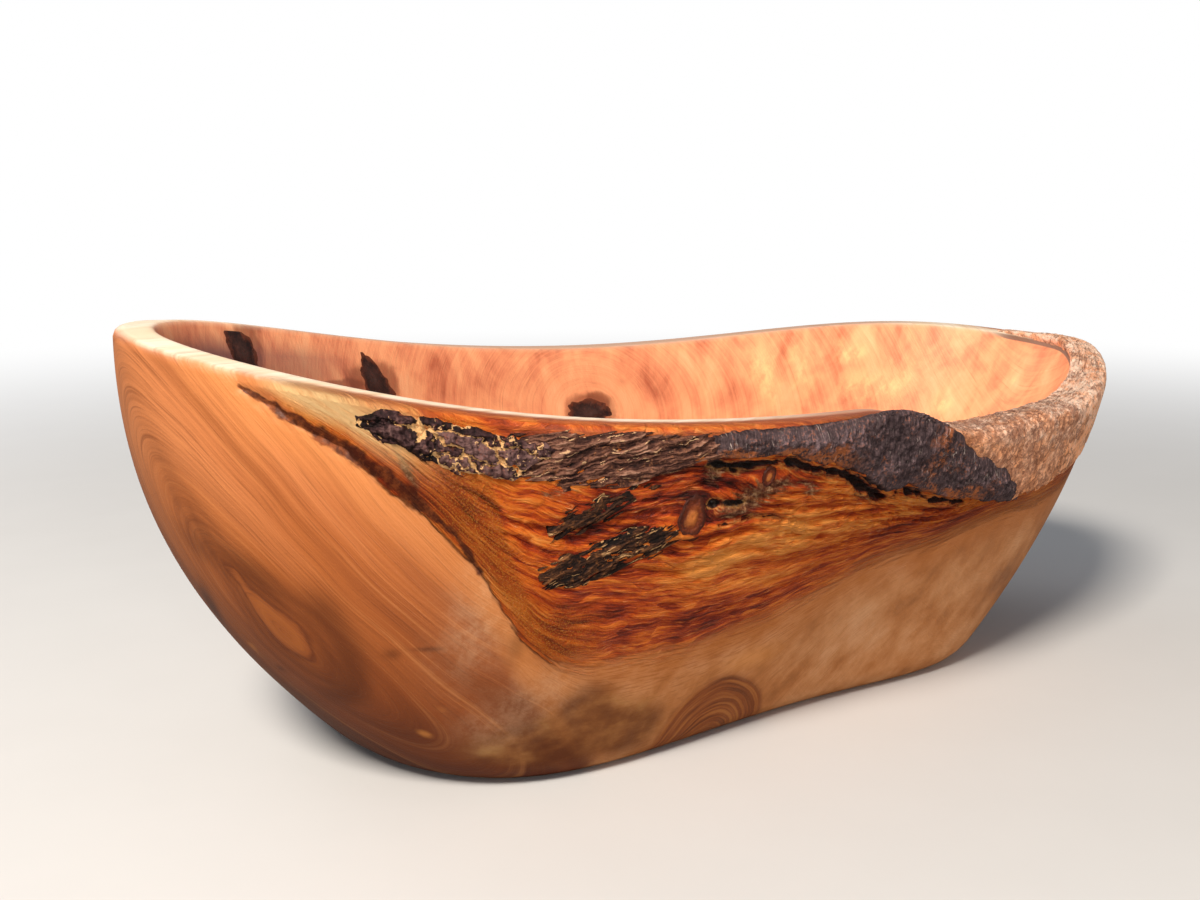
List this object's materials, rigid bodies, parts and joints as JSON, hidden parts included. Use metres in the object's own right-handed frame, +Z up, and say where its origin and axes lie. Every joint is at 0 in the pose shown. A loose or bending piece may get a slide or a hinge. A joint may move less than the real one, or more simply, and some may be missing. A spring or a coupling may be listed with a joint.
{
  "type": "fruit bowl",
  "caption": "Boat-shaped live-edge olive wood fruit bowl with a carved hollow, a high left end, a dipping rim and bark left along its front.",
  "frame": {"origin": "middle of the outline box, on the table under the flat foot", "axes": "+X along the bowl to its corky end, -Y to the front with the bark, +Z up"},
  "size_m": [0.3195, 0.1576, 0.1078],
  "materials": {
    "olive_wood": "oiled satin",
    "scaly_bark": "rough",
    "stringy_bark": "rough",
    "cork": "rough",
    "knot_wood": "oiled satin",
    "dark_inclusion": "oiled satin"
  },
  "bodies": {
    "root": {"bowl_body": "olive_wood", "bark_plate_left": "scaly_bark", "bark_strip_middle": "stringy_bark", "bark_plate_right": "scaly_bark", "bark_rim_end": "cork", "bark_sliver_upper": "stringy_bark", "bark_sliver_lower": "stringy_bark", "pin_knot_lower": "knot_wood", "pin_knot_upper": "knot_wood", "inclusion_left": "dark_inclusion", "inclusion_centre": "dark_inclusion", "inclusion_back": "dark_inclusion"}
  },
  "joints": []
}
